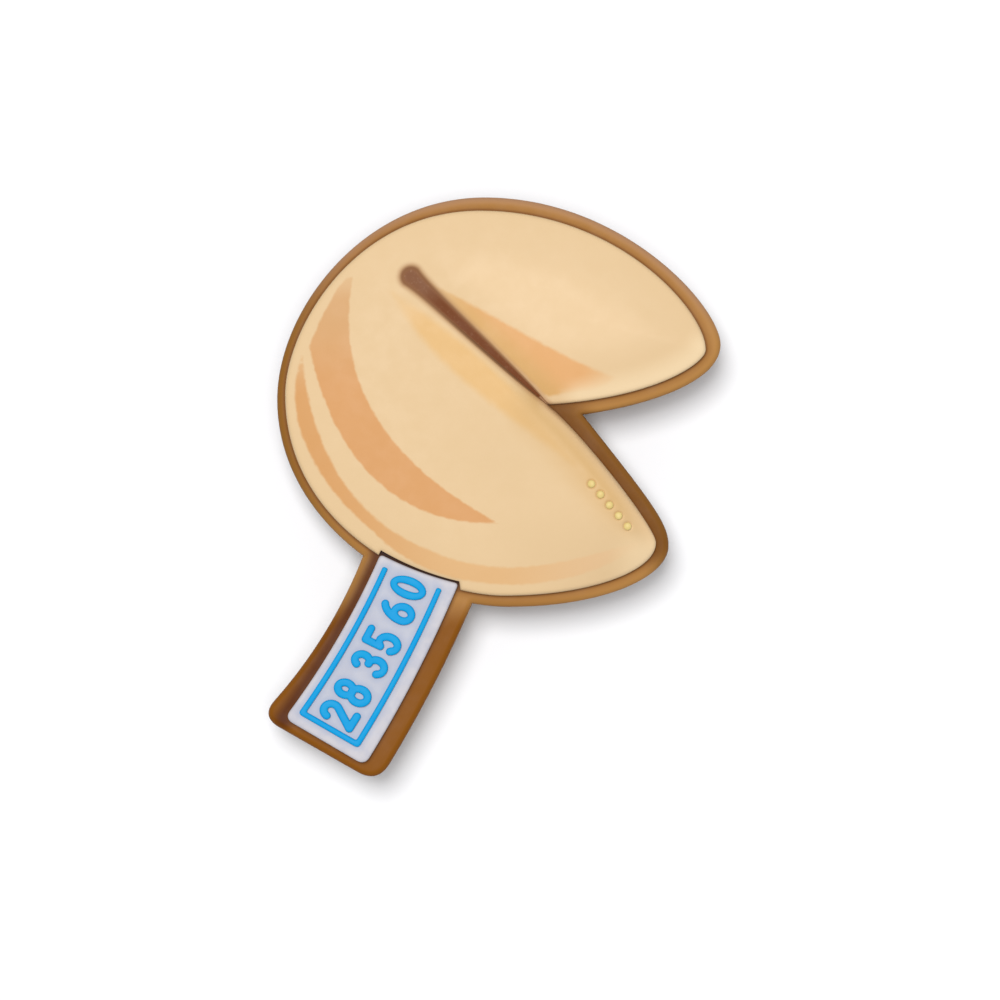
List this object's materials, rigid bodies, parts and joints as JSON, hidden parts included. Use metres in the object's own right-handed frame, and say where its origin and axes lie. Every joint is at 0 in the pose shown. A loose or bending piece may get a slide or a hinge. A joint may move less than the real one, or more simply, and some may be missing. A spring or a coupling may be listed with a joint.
{
  "type": "fortune cookie shoe charm",
  "caption": "Soft moulded shoe charm shaped like an open fortune cookie in relief, with a pale paper slip of numbers and a push-in stud on its back.",
  "frame": {"origin": "centre of the flat foot of the stud, below the centre of the charm's outline", "axes": "+Z out of the picture side, square to the flat back; +Y towards the picture's top, along the charm's longest extent; +X towards the picture's right, where the cookie's mouth opens"},
  "size_m": [0.03, 0.0384, 0.01],
  "materials": {
    "brown_rubber": "satin",
    "cream_rubber": "satin with soft printed shading in tan and orange",
    "dark_brown_rubber": "satin",
    "lavender_rubber": "satin",
    "blue_rubber": "satin",
    "yellow_rubber": "satin"
  },
  "bodies": {
    "root": {"stud_cap": "brown_rubber", "stud_stem": "brown_rubber", "backing": "brown_rubber", "cookie": "cream_rubber", "crease": "dark_brown_rubber", "slip": "lavender_rubber", "slip_border": "blue_rubber", "digit_1": "blue_rubber", "digit_2": "blue_rubber", "digit_3": "blue_rubber", "digit_4": "blue_rubber", "digit_5": "blue_rubber", "digit_6": "blue_rubber", "dot_1": "yellow_rubber", "dot_2": "yellow_rubber", "dot_3": "yellow_rubber", "dot_4": "yellow_rubber", "dot_5": "yellow_rubber"}
  },
  "joints": []
}
